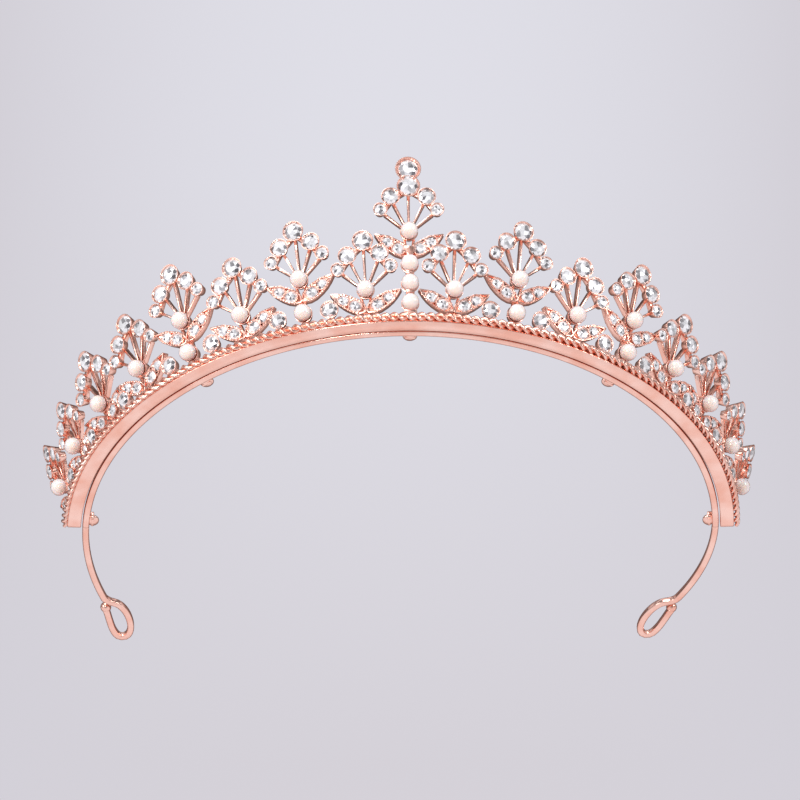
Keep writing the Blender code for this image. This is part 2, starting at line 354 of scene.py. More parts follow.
# %% Starting, choosing and finishing
def let_go():
    if bpy.context.object and bpy.context.object.mode != "OBJECT":
        bpy.ops.object.mode_set(mode="OBJECT")
    bpy.ops.object.select_all(action="DESELECT")


def start(name, add, **sizes):
    """A new primitive, alone in the selection, in edit mode."""
    let_go()
    add(**sizes)
    piece = bpy.context.object
    piece.name = piece.data.name = name
    bpy.ops.object.mode_set(mode="EDIT")
    return piece


def take(piece):
    let_go()
    piece.select_set(True)
    bpy.context.view_layer.objects.active = piece


def choose(piece, kind, wanted):
    """Selects the points, edges or faces whose middle and item pass the test, and nothing else."""
    bpy.ops.mesh.select_mode(type=kind)
    bpy.ops.mesh.select_all(action="DESELECT")
    shape = bmesh.from_edit_mesh(piece.data)
    items = {"VERT": shape.verts, "EDGE": shape.edges, "FACE": shape.faces}[kind]
    for item in items:
        points = [item] if kind == "VERT" else item.verts
        middle = sum((p.co for p in points), Vector()) / len(points) / MM
        if wanted(middle, item):
            item.select_set(True)
    shape.select_flush_mode()
    bmesh.update_edit_mesh(piece.data)


def push(x, y, z):
    bpy.ops.mesh.extrude_region_move(TRANSFORM_OT_translate={"value": (x * MM, y * MM, z * MM)})


def modify(piece, kind, **settings):
    """Adds a modifier and applies it."""
    take(piece)
    modifier = piece.modifiers.new(kind.title(), kind)
    for name, value in settings.items():
        setattr(modifier, name, value)
    bpy.ops.object.modifier_apply(modifier=modifier.name)


def soften(piece, width, segments=2, angle=35):
    """Bevels every edge that is sharper than the angle."""
    settings = {"limit_method": "ANGLE", "angle_limit": math.radians(angle)}
    modify(piece, "BEVEL", width=width * MM, segments=segments, **settings)


def put(piece, matrix):
    """Moves the mesh itself, so that the object stays at the origin, unturned."""
    let_go()
    piece.data.transform(piece.matrix_basis)
    piece.matrix_basis = Matrix.Identity(4)
    piece.data.transform(matrix)
    return piece


def shift(x, y, z):
    return Matrix.Translation((x * MM, y * MM, z * MM))


def join(name, members):
    """One object from several."""
    take(members[0])
    for member in members:
        member.select_set(True)
    bpy.ops.object.join()
    joined = bpy.context.object
    joined.name = joined.data.name = name
    return joined


def smooth(piece, angle=38):
    take(piece)
    bpy.ops.object.shade_smooth_by_angle(angle=math.radians(angle), keep_sharp_edges=False)
    return piece


def hand_over(piece, material, slot, *nodes, body="crest"):
    """The finished piece gets its finish and its body, and the CAD nodes that it stands for are hidden."""
    piece.data.materials.clear()
    piece.data.materials.append(material)
    if body:
        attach(piece, body)
    if nodes:
        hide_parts(*nodes)
    return piece


def copy_of(model, name, matrix):
    """A copy with its own mesh, put in place in the mesh."""
    twin = model.copy()
    twin.data = model.data.copy()
    twin.name = twin.data.name = name
    bpy.context.scene.collection.objects.link(twin)
    twin.data.transform(matrix)
    return twin


def count(piece):
    return f"{piece.name}: {len(piece.data.polygons)} faces"


print("modelling helpers ready")

# %% [markdown]
# ## A guide to bend along
#
# The base, its rope edge and the strip are long straight bars that the maker bends round a former.
# The Curve modifier does the same: the bar is made straight along X, and the modifier lays it along
# a guide. The guide follows the crest line, with a point every half millimetre or so, and its twist
# is kept upright so that the bar doesn't roll.

# %% The guides
STRIP_MIDDLE = -3.1
ARM_START = 102.8
GUIDE_STEP = 0.6
FIRST_CUTS = 10  # a bar is cut in two goes, because Subdivide makes a hundred cuts at most


def guide(name, points):
    """A curve through points in millimetres."""
    line = bpy.data.curves.new(name, "CURVE")
    line.dimensions, line.twist_mode = "3D", "Z_UP"
    spline = line.splines.new("POLY")
    spline.points.add(len(points) - 1)
    for spot, point in zip(spline.points, points):
        spot.co = (*(point * MM), 1)
    made = bpy.data.objects.new(name, line)
    bpy.context.scene.collection.objects.link(made)
    return made


def length_of(points):
    return sum((b - a).length for a, b in zip(points, points[1:]))


def crest_points(low, high, outward=0.0):
    steps = round((high - low) / GUIDE_STEP)
    found = []
    for step in range(steps + 1):
        point, _, out = crest_at(low + (high - low) * step / steps)
        found.append(point + out * outward)
    return found


def bend(piece, points):
    """Lays a bar that starts at X = 0 along the points; the bar's -Y side comes out on the right."""
    line = guide("guide", points)
    modify(piece, "CURVE", object=line, deform_axis="POS_X")
    bpy.data.objects.remove(line)
    return piece


def cut_along(piece, axis, *counts):
    """Cuts the long edges into that many lengths, and then cuts those again."""
    for lengths in counts:
        choose(piece, "EDGE", lambda _, edge: abs((edge.verts[0].co - edge.verts[1].co)[axis]) > MM)
        bpy.ops.mesh.subdivide(number_cuts=lengths - 1)
    let_go()


def bar_of(name, length, across, high, ring_length=0.8):
    """A straight bar from X = 0: across and high are (low, high) pairs."""
    piece = start(name, bpy.ops.mesh.primitive_cube_add, size=MM)
    bpy.ops.transform.resize(value=(length, across[1] - across[0], high[1] - high[0]))
    bpy.ops.transform.translate(
        value=(length / 2 * MM, (across[0] + across[1]) / 2 * MM, (high[0] + high[1]) / 2 * MM)
    )
    cut_along(piece, 0, FIRST_CUTS, round(length / FIRST_CUTS / ring_length))
    return piece


print("a guide over the base is", round(length_of(crest_points(-102.5, 102.5)), 1), "mm long")

# %% [markdown]
# ## The base band
#
# The base is a flat band on edge with softly rounded edges; its underside is the broad bright band
# below the sprays. A bar with its long edges bevelled, bent round the guide, has exactly those
# edges. On the guide the bar's +Y side turns to the inside of the curve.

# %% The base
BASE_INNER, BASE_OUTER, BASE_HEIGHT = 2.1, -0.75, 1.9  # inwards is positive across a bar
BASE_EDGE = 0.22


def base_band():
    length = 2 * CREST_HALF_LENGTH
    bar = bar_of("base_band", length, (BASE_OUTER, BASE_INNER), (0, BASE_HEIGHT))
    soften(bar, BASE_EDGE, 3)
    bend(bar, crest_points(-CREST_HALF_LENGTH, CREST_HALF_LENGTH))
    return hand_over(smooth(bar), POLISHED, "rose_gold", "crest_base")


BASE = base_band()
print(count(BASE))

# %% [markdown]
# ## The rope edge
#
# The front edge of the base is a pair of wires twisted together and pressed a little flat, so it
# shows slanting ridges with dark gaps between them. Two straight rods, twisted as a pair by Simple
# Deform, give the true shape of a rope.

# %% The rope edge
ROPE_MIDDLE, ROPE_STRAND, ROPE_HEIGHT = -1.3, 0.46, 2.0
RIDGE_PITCH = 1.8  # from one ridge to the next: each of the two strands shows once a turn
RINGS_A_TURN, STRAND_SIDES = 14, 10
STRANDS_SUNK, PRESSED = 0.98, (1.08, 0.86)  # how the strands are squeezed together


def rope_edge():
    length = 2 * CREST_HALF_LENGTH
    turns = round(length / (2 * RIDGE_PITCH))
    strands = []
    for side in (-1, 1):
        rod = start(
            "strand", bpy.ops.mesh.primitive_cylinder_add, vertices=STRAND_SIDES,
            radius=ROPE_STRAND * MM, depth=length * MM,
        )
        bpy.ops.transform.translate(value=(side * ROPE_STRAND * STRANDS_SUNK * MM, 0, 0))
        cut_along(rod, 2, turns, RINGS_A_TURN)
        strands.append(rod)
    rope = join("rope_edge_twist", strands)
    modify(rope, "SIMPLE_DEFORM", deform_method="TWIST", deform_axis="Z", angle=2 * math.pi * turns)
    flat = Matrix.Diagonal((*PRESSED, 1, 1))
    upright = Matrix.Rotation(math.radians(90), 4, "Y")
    put(rope, shift(length / 2, ROPE_MIDDLE, ROPE_HEIGHT / 2) @ upright @ flat)
    bend(rope, crest_points(-CREST_HALF_LENGTH, CREST_HALF_LENGTH))
    return hand_over(smooth(rope, 80), CAST, "rose_gold", "rope_edge")


ROPE = rope_edge()
print(count(ROPE))

# %% [markdown]
# ## The headband strip and its loops
#
# The strip lies inside the base and runs on past it as two free arms. Each arm's end is curled
# inwards and round, and finished with a round bead, so that it doesn't scratch. The middle and each
# arm are pieces of their own, as the real arms flex, and each arm's shape curves away from the middle.

# %% The middle of the strip
STRIP_WIDTH, STRIP_HEIGHT, STRIP_EDGE = 1.4, 1.4, 0.32
LOOP_TURN = -4.0  # degrees that the loop is turned on the arm's end
ARM_ENDS = {-1: 127.5, 1: 129.0}  # where each arm starts to curl: left, right
ARM_SET = {-1: 0.0, 1: 2.4}  # how far its end is sprung inwards
SPRING_CURVE = 1.6  # the power by which that grows along the arm
FLEX_END = ARM_START + 24  # a length along the crest, out on each arm, where a point is found and then not used
GAP = 0.3
ARM_STEPS = 48
ARM_OVERLAP = 0.7  # buries both rounded ends where an arm meets the middle
LOOP_ROUTE = (
    (1.2, 0.7), (2.6, 2.2), (4.8, 3.0), (7.6, 3.15), (10.4, 2.7), (12.4, 1.7),
    (13.1, 0.4), (12.3, -0.8), (10.0, -1.15), (7.2, -1.0), (4.6, -0.75), (3.4, -0.7),
)  # (along the arm, towards the inside) from the arm's end round to its tip


def strip_bar(name, points):
    half = STRIP_WIDTH / 2
    bar = bar_of(name, length_of(points), (-half, half), (0, STRIP_HEIGHT))
    soften(bar, STRIP_EDGE, 3)
    return bar


def strip_middle():
    points = crest_points(-ARM_START, ARM_START, STRIP_MIDDLE)
    bar = bend(strip_bar("strip_middle", points), points)
    return hand_over(smooth(bar), POLISHED, "headband", "headband_middle")


STRIP = strip_middle()
print(count(STRIP))


# %% The arms
def curve_through(points, steps):
    """Points on a smooth curve through a route."""
    route = [2 * points[0] - points[1], *points, 2 * points[-1] - points[-2]]
    found = []
    for a, b, c, d in zip(route, route[1:], route[2:], route[3:]):
        for i in range(steps):
            t = i / steps
            square = (2 * a - 5 * b + 4 * c - d) * t * t
            found.append(0.5 * (2 * b + (c - a) * t + square + (3 * b - a - 3 * c + d) * t**3))
    return [*found, points[-1]]


def arm_points(side):
    """The middle of a free arm and its loop, in plan."""
    low, high, straight = ARM_START - ARM_OVERLAP, ARM_ENDS[side], []
    for step in range(ARM_STEPS + 1):
        point, _, out = crest_at(side * (low + (high - low) * step / ARM_STEPS))
        sprung = ARM_SET[side] * (step / ARM_STEPS) ** SPRING_CURVE
        straight.append(point + out * (STRIP_MIDDLE - sprung))
    turn = Matrix.Rotation(math.radians(side * LOOP_TURN), 3, "Z")
    forward = turn @ (straight[-1] - straight[-2]).normalized()
    inward = forward.cross(Vector((0, 0, -side)))
    end = straight[-1]
    loop = [end, *(end + forward * ahead + inward * across for ahead, across in LOOP_ROUTE)]
    return straight, curve_through(loop, 8)


TIP_BEAD, TIP_BEAD_RISE = 1.15, 1.17  # the bead rests on the same table as the strip


def arm(name, side):
    straight, loop = arm_points(side)
    points = straight[:-1] + loop
    bar = bend(strip_bar(f"{name}_arm_strip", points), points)
    ball = start(
        "bead", bpy.ops.mesh.primitive_uv_sphere_add, segments=20, ring_count=12, radius=TIP_BEAD * MM
    )
    let_go()
    put(ball, Matrix.Translation((loop[-1] + Vector((0, 0, TIP_BEAD_RISE))) * MM))
    whole = smooth(join(f"{name}_arm_strip", [bar, ball]))
    hand_over(whole, POLISHED, "headband", f"headband_{name}_arm", body=None)
    pivot, _, out = crest_at(side * ARM_START)
    pivot = (pivot + out * STRIP_MIDDLE) * MM
    far, _, out = crest_at(side * FLEX_END)
    tuple((far + out * STRIP_MIDDLE) * MM)
    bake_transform(whole)
    return whole


for arm_name, arm_side in (("left", -1), ("right", 1)):
    print(count(arm(arm_name, arm_side)))

# %% [markdown]
# ## The ties
#
# Five little saddles hold the strip to the base. Each is a plate over the strip with a lip that
# comes down its inner side, and a round lug where the wire was cut off. A cube becomes that shape in
# two pushes: the plate first, and then the lip out of its underside.

# %% The ties
TIES = {"centre": 0.0, "left": -46.8, "right": 46.8, "left_end": -100.8, "right_end": 100.8}
TIE_THICK, TIE_WIDE, TIE_EDGE = 0.6, 2.2, 0.16
BASE_GAP, LIP_RISE = 0.7, 0.1  # the plate's distance from the base, and the lip's from the table
LUG_RADIUS, LUG_SHAPE, LUG_OUT = 0.85, (1.75, 1.5, 0.85), 0.4


def tie(name, arc):
    inner = -STRIP_MIDDLE + STRIP_WIDTH / 2 + GAP
    top = STRIP_HEIGHT + GAP
    outer = BASE_INNER + BASE_GAP
    across = (inner + TIE_THICK + outer) / 2
    plate = start("tie", bpy.ops.mesh.primitive_cube_add, size=MM)
    bpy.ops.transform.resize(value=(TIE_WIDE, inner + TIE_THICK - outer, TIE_THICK))
    bpy.ops.transform.translate(value=(0, across * MM, (top + TIE_THICK / 2) * MM))
    bpy.ops.mesh.bisect(plane_co=(0, inner * MM, 0), plane_no=(0, 1, 0))
    choose(plate, "FACE", lambda middle, face: face.normal.z < -0.9 and middle.y > inner)
    push(0, 0, LIP_RISE - top)
    let_go()
    soften(plate, TIE_EDGE, 2)
    lug = start(
        "lug", bpy.ops.mesh.primitive_uv_sphere_add, segments=18, ring_count=12, radius=LUG_RADIUS * MM
    )
    bpy.ops.transform.resize(value=LUG_SHAPE)
    bpy.ops.transform.translate(value=(0, (inner + LUG_OUT) * MM, LUG_RADIUS * MM))
    let_go()
    whole = smooth(join(f"saddle_{name}", [plate, lug]))
    point, along, out = crest_at(arc)
    axes = Matrix((along, -out, Vector((0, 0, 1)))).transposed().to_4x4()
    axes.translation = point
    put(whole, in_metres(axes))
    return hand_over(whole, CAST, "headband", f"tie_{name}")


for tie_name, tie_arc in TIES.items():
    tie(tie_name, tie_arc)
print(len(TIES), "ties")

# %% [markdown]
# ## A brilliant-cut stone
#
# Seen from the front a brilliant is a flat eight-sided table, a ring of stars and kites round it,
# and sixteen small facets down to its edge. Only the corners matter: with the rings of corners in
# place, a convex hull finds every facet by itself. The table is then poked into eight low
# triangles, which stand for the back facets that are seen through it.

# %% One stone
CORNERS = 8
GIRDLE = 2 * CORNERS
TABLE_RADIUS, TABLE_RISE = 0.56, 0.34  # shares of the stone's radius
STAR_RADIUS = 0.8
GIRDLE_DEPTH, PAVILION, POINT_RADIUS = 0.1, 0.55, 0.12
TABLE_POKE = 0.05
FACET_STRIDE = 5  # neighbouring facets take steps that are this far apart
# Painted reflection strengths that the facets take in turn
FACET_REFLECTION_STEPS = (1.0, 0.75, 0.95, 0.3, 1.0, 0.6, 0.9, 0.0, 1.0, 0.85, 0.1, 0.95, 0.5)


def star_rise():
    """The height that keeps each kite flat between the table and the edge."""
    reach = STAR_RADIUS * math.cos(math.pi / CORNERS)
    return TABLE_RISE * (1 - reach) / (1 - TABLE_RADIUS)


def ring(corners, radius, rise, turn=0.0):
    bpy.ops.mesh.primitive_circle_add(
        vertices=corners, radius=radius * MM, location=(0, 0, rise * MM), rotation=(0, 0, turn)
    )


def brilliant():
    """A stone of radius 1 mm that looks out along +Z."""
    stone = start("stone", bpy.ops.mesh.primitive_circle_add, vertices=GIRDLE, radius=MM)
    ring(GIRDLE, 1, -GIRDLE_DEPTH)
    ring(CORNERS, STAR_RADIUS, star_rise(), math.pi / CORNERS)
    ring(CORNERS, TABLE_RADIUS, TABLE_RISE)
    ring(CORNERS, POINT_RADIUS, -PAVILION)
    bpy.ops.mesh.select_all(action="SELECT")
    flat, any_shape = math.radians(2), math.radians(180)
    bpy.ops.mesh.convex_hull(join_triangles=True, face_threshold=flat, shape_threshold=any_shape)
    choose(stone, "FACE", lambda middle, face: face.normal.z > 0.99 and middle.z > 0.9 * TABLE_RISE)
    bpy.ops.mesh.dissolve_faces()
    bpy.ops.mesh.poke(offset=TABLE_POKE * MM)
    let_go()
    return stone


def paint_facet_reflections(stone, first):
    """Paints the facets' reflection strengths, from a step that differs from stone to stone."""
    strengths = stone.data.attributes.new("facet_reflection", "FLOAT", "FACE")
    for face, value in zip(stone.data.polygons, strengths.data):
        value.value = FACET_REFLECTION_STEPS[(face.index * FACET_STRIDE + first) % len(FACET_REFLECTION_STEPS)]


STONE_MODEL = brilliant()
print(count(STONE_MODEL))

# %% [markdown]
# ## A cup for a stone
#
# Each stone sits in a deep cup with a thin bright rim. A cylinder is drawn in at its back, its front
# is inset by the thickness of the wall, and the inner face is pushed down to make the seat. A small
# bevel on the rim catches the light, which is what makes the rim read as bright metal. A pearl's
# bowl is made in the same way, shallower and with a thicker wall.

# %% One cup
CUP = {"back": -1.1, "front": 0.95, "back_share": 0.66, "wall": 0.14, "seat": 0.5, "seat_share": 0.86}
BOWL = {"back": -1.55, "front": 0.35, "back_share": 0.7, "wall": 0.26, "seat": 0.7, "seat_share": 0.6}
BEAD_RADIUS, BEAD_PITCH = 0.22, 0.42
BEADS_INSIDE, BEADS_BEHIND = 0.12, 0.1  # where their middles are: inside the rim, and behind it


def dish(sides, radius, edge, back, front, back_share, wall, seat, seat_share):
    """A round dish that looks out along +Z; the shares say how far its back and seat are drawn in."""
    depth = front - back
    piece = start(
        "dish", bpy.ops.mesh.primitive_cylinder_add, vertices=sides, radius=radius * MM, depth=depth * MM
    )
    bpy.ops.transform.translate(value=(0, 0, (front + back) / 2 * MM))
    choose(piece, "FACE", lambda middle, face: face.normal.z < -0.9)
    bpy.ops.transform.resize(value=(back_share, back_share, 1))
    choose(piece, "FACE", lambda middle, face: face.normal.z > 0.9)
    bpy.ops.mesh.inset(thickness=wall * MM)
    push(0, 0, -seat)
    bpy.ops.transform.resize(value=(seat_share, seat_share, 1))
    let_go()
    soften(piece, edge, 2, 50)
    return piece


def cup(radius, sides=20):
    return dish(sides, radius, 0.05, **CUP)


def bead(radius, x, y, z):
    made = start("bead", bpy.ops.mesh.primitive_ico_sphere_add, subdivisions=1, radius=radius * MM)
    return put(made, shift(x, y, z))


def beaded_rim(radius):
    """A cup whose rim is a ring of fine beads."""
    parts = [cup(radius)]
    total = round(2 * math.pi * (radius - BEADS_BEHIND) / BEAD_PITCH)
    reach = radius - BEADS_INSIDE
    for index in range(total):
        angle = 2 * math.pi * index / total
        x, y = reach * math.sin(angle), reach * math.cos(angle)
        parts.append(bead(BEAD_RADIUS, x, y, CUP["front"] - BEADS_BEHIND))
    return join("beaded_cup", parts)


print(round(CUP["front"] - CUP["back"], 2), "mm deep cups")

# %% [markdown]
# ## Blades, webs and the pearl's bowl
#
# The stems of a fan are narrow blades, deeper than they are wide, so their front edges shine and
# their sides stay dark. The same blade, made short and broad, is the web that joins two cups. A
# pearl sits in a shallow bowl that shows as a thin crescent below it.

# %% Blades and bowls
PEARL_RADIUS, PEARL_FORWARD = 1.75, 1.4
STEM_BACK, STEM_FRONT = -1.25, 0.1
BOWL_RADIUS, BOWL_SIDES, BOWL_EDGE = PEARL_RADIUS + 0.12, 28, 0.09


def blade(begin, end, widths, back=STEM_BACK, front=STEM_FRONT, edge=0.14):
    """A bar in the crest's surface; widths are at its beginning and end."""
    a, b = Vector((*begin, 0)), Vector((*end, 0))
    run = b - a
    piece = start("blade", bpy.ops.mesh.primitive_cube_add, size=MM)
    bpy.ops.transform.resize(value=(run.length, widths[0], front - back))
    choose(piece, "VERT", lambda middle, _: middle.x > 0)
    bpy.ops.transform.resize(value=(1, widths[1] / widths[0], 1))
    let_go()
    soften(piece, edge)
    middle = (a + b) / 2
    turn = Matrix.Rotation(math.atan2(run.y, run.x), 4, "Z")
    return put(piece, shift(middle.x, middle.y, (back + front) / 2) @ turn)


def bowl(height):
    """The shallow bowl that a pearl is glued into."""
    return put(dish(BOWL_SIDES, BOWL_RADIUS, BOWL_EDGE, **BOWL), shift(0, height, 0))


print("blades and bowls ready")

# %% [markdown]
# ## A leaf
#
# Below each pearl two leaves spread over the base. A leaf is a little boat: a pointed outline with a
# raised rim, a row of beads on each side of it and two stones in its hollow. A strip of squares is
# drawn in at both ends to make the outline, pushed up for its thickness, and then its top is inset
# and pushed down inside the rim.

# %% One leaf
LEAF_LENGTH, LEAF_WIDTH = 8.3, 3.1
LEAF_BACK, LEAF_FRONT = -1.0, 0.55
LEAF_OUTLINE = ((0.0, 0.3), (0.14, 0.8), (0.3, 1.0), (0.5, 0.97), (0.68, 0.8), (0.84, 0.5), (1.0, 0.08))
LEAF_RIM, LEAF_HOLLOW, LEAF_EDGE = 0.34, 0.5, 0.1
LEAF_BEADS, LEAF_BEAD_RADIUS = 9, 0.19
FIRST_BEAD, NEXT_BEAD = 0.16, 0.08  # shares of the leaf's length
LEAF_STONES = ((2.6, 1.35), (5.3, 1.2))  # (distance from the root, radius)
LEAF_SEAT_WALL, LEAF_SEAT_SUNK, LEAF_STONE_RISE = 0.2, 0.35, 0.2


def leaf():
    """A leaf along +X from its root at the origin."""
    squares = len(LEAF_OUTLINE) - 1
    piece = start(
        "leaf", bpy.ops.mesh.primitive_grid_add, x_subdivisions=squares, y_subdivisions=1, size=2 * MM
    )
    shape = bmesh.from_edit_mesh(piece.data)
    columns = sorted({round(spot.co.x / MM, 4) for spot in shape.verts})
    for spot in shape.verts:
        along, wide = LEAF_OUTLINE[columns.index(round(spot.co.x / MM, 4))]
        side = math.copysign(1, spot.co.y)
        spot.co = Vector((along * LEAF_LENGTH, side * wide * LEAF_WIDTH / 2, LEAF_BACK)) * MM
    bmesh.update_edit_mesh(piece.data)
    bpy.ops.mesh.select_all(action="SELECT")
    push(0, 0, LEAF_FRONT - LEAF_BACK)
    bpy.ops.mesh.inset(thickness=LEAF_RIM * MM)
    push(0, 0, -LEAF_HOLLOW)
    bpy.ops.mesh.select_all(action="SELECT")
    bpy.ops.mesh.normals_make_consistent(inside=False)
    let_go()
    soften(piece, LEAF_EDGE, 2, 40)
    parts = [piece]
    for index in range(LEAF_BEADS):
        reach = FIRST_BEAD + NEXT_BEAD * index
        for side in (-1, 1):
            x, y = reach * LEAF_LENGTH, side * leaf_edge(reach)
            parts.append(bead(LEAF_BEAD_RADIUS, x, y, LEAF_FRONT))
    for distance, radius in LEAF_STONES:
        seat = cup(radius + LEAF_SEAT_WALL, 16)
        parts.append(put(seat, shift(distance, 0, -LEAF_SEAT_SUNK)))
    return join("leaf", parts)


def leaf_edge(reach):
    """Half the leaf's width, in the middle of its rim."""
    for (low, narrow), (high, wide) in zip(LEAF_OUTLINE, LEAF_OUTLINE[1:]):
        if low <= reach <= high:
            share = (reach - low) / (high - low)
            return (narrow + (wide - narrow) * share) * LEAF_WIDTH / 2 - LEAF_RIM / 2
    return 0.0


LEAF_MODEL = leaf()
print(count(LEAF_MODEL))

# %% [markdown]
# ## The sprays
#
# A spray is a fan of cups on blades above a pearl's bowl, with a pair of leaves below it. There are
# only three patterns: the tall one in the centre, a high one and a low one. Each pattern is put
# together once, with its stones as a second object, and then copied to its places.

# %% The three patterns
LOW_PEARL, HIGH_PEARL, CENTRE_PEARL = 5.2, 9.4, 17.5
COLUMN_PEARLS = (1.95, 6.2, 10.4)
FAN = ((10.7, 0, 2.2), (8.4, -23, 1.95), (8.4, 23, 1.95), (7.2, -48, 1.5), (7.2, 48, 1.5))
CENTRE_FAN = (
    (13.75, 0, 2.6), (10.0, 0, 2.35),
    (8.5, -25.5, 1.95), (8.5, 25.5, 1.95), (7.5, -50, 1.5), (7.5, 50, 1.5),
)
BEADED, LARGEST = 2.3, 2.5  # cups above the first radius have a beaded rim
STONE_SHARE, LARGEST_SHARE = 0.87, 0.78  # a stone's radius, as a share of its cup's
SEAT_HEIGHT = 0.62
STONE_TURN, FACET_SHIFT = 37, 3  # from one stone to the next: degrees, and steps of its facets
STEM_WIDTHS, WEB_WIDTHS = (0.42, 0.62), (1.0, 0.9)
WEB_INWARD = 0.55  # how far the webs lie on the pearl's side of the cups' middles


def polar(distance, angle, height):
    turn = math.radians(angle)
    return Vector((distance * math.sin(turn), height + distance * math.cos(turn)))


def set_stone(stones, centre, radius, rise=SEAT_HEIGHT, matrix=None):
    """A stone in its cup, turned a little differently from the last one."""
    turn = Matrix.Rotation(math.radians(STONE_TURN * len(stones)), 4, "Z")
    place = shift(centre[0], centre[1], rise) @ turn @ Matrix.Scale(radius, 4)
    stone = copy_of(STONE_MODEL, "stone", (matrix or Matrix.Identity(4)) @ place)
    paint_facet_reflections(stone, FACET_SHIFT * len(stones))
    stones.append(stone)


def fan_parts(fan, height, stones):
    parts = []
    places = [(polar(distance, angle, height), radius) for distance, angle, radius in fan]
    for (distance, angle, _), (centre, radius) in zip(fan, places):
        made = beaded_rim(radius) if radius > BEADED else cup(radius)
        parts.append(put(made, shift(centre.x, centre.y, 0)))
        share = LARGEST_SHARE if radius > LARGEST else STONE_SHARE
        set_stone(stones, centre, radius * share)
        if distance <= FAN[0][0]:
            near = polar(PEARL_RADIUS - 0.3, angle, height)
            far = polar(distance - radius * 0.7, angle, height)
            parts.append(blade(near, far, STEM_WIDTHS))
    for a, b in web_pairs(fan):
        first, second = places[a][0], places[b][0]
        inward = (Vector((0, height)) - (first + second) / 2).normalized() * WEB_INWARD
        parts.append(blade(first + inward, second + inward, WEB_WIDTHS, -0.9, 0.35))
    return parts


def web_pairs(fan):
    """Which cups touch: each side's cups in turn, starting from the one in the middle."""
    middle = len(fan) - 5
    return [(middle, middle + 1), (middle, middle + 2), (middle + 1, middle + 3), (middle + 2, middle + 4)]


def leaf_pair(stones, vertex, angle):
    parts = []
    for side in (-1, 1):
        turn = Matrix.Rotation(math.radians(90 - side * (90 - angle)), 4, "Z")
        place = shift(0, vertex, 0) @ turn
        parts.append(copy_of(LEAF_MODEL, "leaf", place))
        for distance, radius in LEAF_STONES:
            set_stone(stones, (distance, 0), radius, LEAF_STONE_RISE, place)
    return parts


def pattern(name, pearl, fan, vertex, angle):
    """(frame, stones) of one spray, in its own axes."""
    stones = []
    parts = fan_parts(fan, pearl, stones) + leaf_pair(stones, vertex, angle)
    parts.append(bowl(pearl))
    for side in (-1, 1):
        top = (side * 1.0, pearl - PEARL_RADIUS * 0.75)
        parts.append(blade((side * 0.3, vertex), top, (0.6, 0.55), -1.3, -0.1))
    parts.append(blade((0, FOOT_BOTTOM), (0, vertex + 0.4), (1.8, 1.2), -1.5, -0.3))
    if fan is CENTRE_FAN:
        parts += column_parts(vertex)
    elif pearl == HIGH_PEARL:
        parts.append(bowl(COLUMN_PEARLS[0]))
    frame_part, stone_part = smooth(join(name, parts)), join(f"{name}_stones", stones)
    return frame_part, stone_part


def column_parts(vertex):
    """The centre spray's column: a bowl behind each pearl, collars between them and a wedge on top."""
    parts = [bowl(height) for height in COLUMN_PEARLS]
    for low, high in zip(COLUMN_PEARLS, COLUMN_PEARLS[1:]):
        middle = (low + high) / 2
        parts.append(blade((0, middle - 0.35), (0, middle + 0.35), (1.7, 1.7), -0.6, 2.0))
    parts.append(blade((0, vertex - 0.7), (0, vertex + 1.7), (1.2, 2.4), -0.9, 1.5, 0.3))
    parts.append(blade((0, FOOT_BOTTOM), (0, 0.5), (3.0, 2.4), -0.9, 1.6, 0.3))
    return parts


PATTERNS = {
    "centre": pattern("centre_pattern", CENTRE_PEARL, CENTRE_FAN, CENTRE_PEARL - 5.0, 33),
    "high": pattern("high_pattern", HIGH_PEARL, FAN, HIGH_PEARL - 4.5, 32),
    "low": pattern("low_pattern", LOW_PEARL, FAN, 0.7, 30),
}
for frame_model, stone_model in PATTERNS.values():
    print(count(frame_model), "and", count(stone_model))


# %% The seventeen sprays
def kind_of(index):
    """(pattern, height of its pearl) of the spray that is index places from the centre."""
    if index == 0:
        return "centre", CENTRE_PEARL
    return ("high", HIGH_PEARL) if abs(index) in HIGH_SPRAYS else ("low", LOW_PEARL)


ALL_SPRAYS = range(-SPRAYS_PER_SIDE, SPRAYS_PER_SIDE + 1)
for number in ALL_SPRAYS:
    metal_model, glass_model = PATTERNS[kind_of(number)[0]]
    spot = in_metres(crest_place(spray_arc(number))) @ in_metres(end_scale(number))
    title = side_name(number)
    hand_over(copy_of(metal_model, f"frame_{title}", spot), CAST, "rose_gold", f"spray_{title}")
    hand_over(copy_of(glass_model, f"stones_{title}", spot), STONE, "rhinestone")
print(len(ALL_SPRAYS), "sprays")

# %% [markdown]
# ## The stones between the sprays
#
# Between the leaves a single stone stands on the base, in a cup on a short post. It is nearer to the
# low spray where its neighbour is a high one, because the high spray's leaves leave room there.

# %% Stones on the base
BASE_STONE_HEIGHT, BASE_CUP_RADIUS = 1.75, 1.95
BASE_STONE_FROM_HIGH = 5.3


def base_stone_arcs():
    arcs = []
    for index in range(1, SPRAYS_PER_SIDE):
        low, high = spray_arc(index), spray_arc(index + 1)
        if index in HIGH_SPRAYS:
            arcs.append(low + BASE_STONE_FROM_HIGH)
        elif index + 1 in HIGH_SPRAYS:
            arcs.append(high - BASE_STONE_FROM_HIGH)
        else:
            arcs.append((low + high) / 2)
    return arcs


def base_stone_pattern():
    post = blade((0, FOOT_BOTTOM - 0.6), (0, BASE_STONE_HEIGHT), (1.6, 1.2), -1.1, -0.1)
    seat = put(cup(BASE_CUP_RADIUS), shift(0, BASE_STONE_HEIGHT, 0))
    stones = []
    set_stone(stones, (0, BASE_STONE_HEIGHT), BASE_CUP_RADIUS * STONE_SHARE)
    return smooth(join("base_cup", [post, seat])), stones[0]


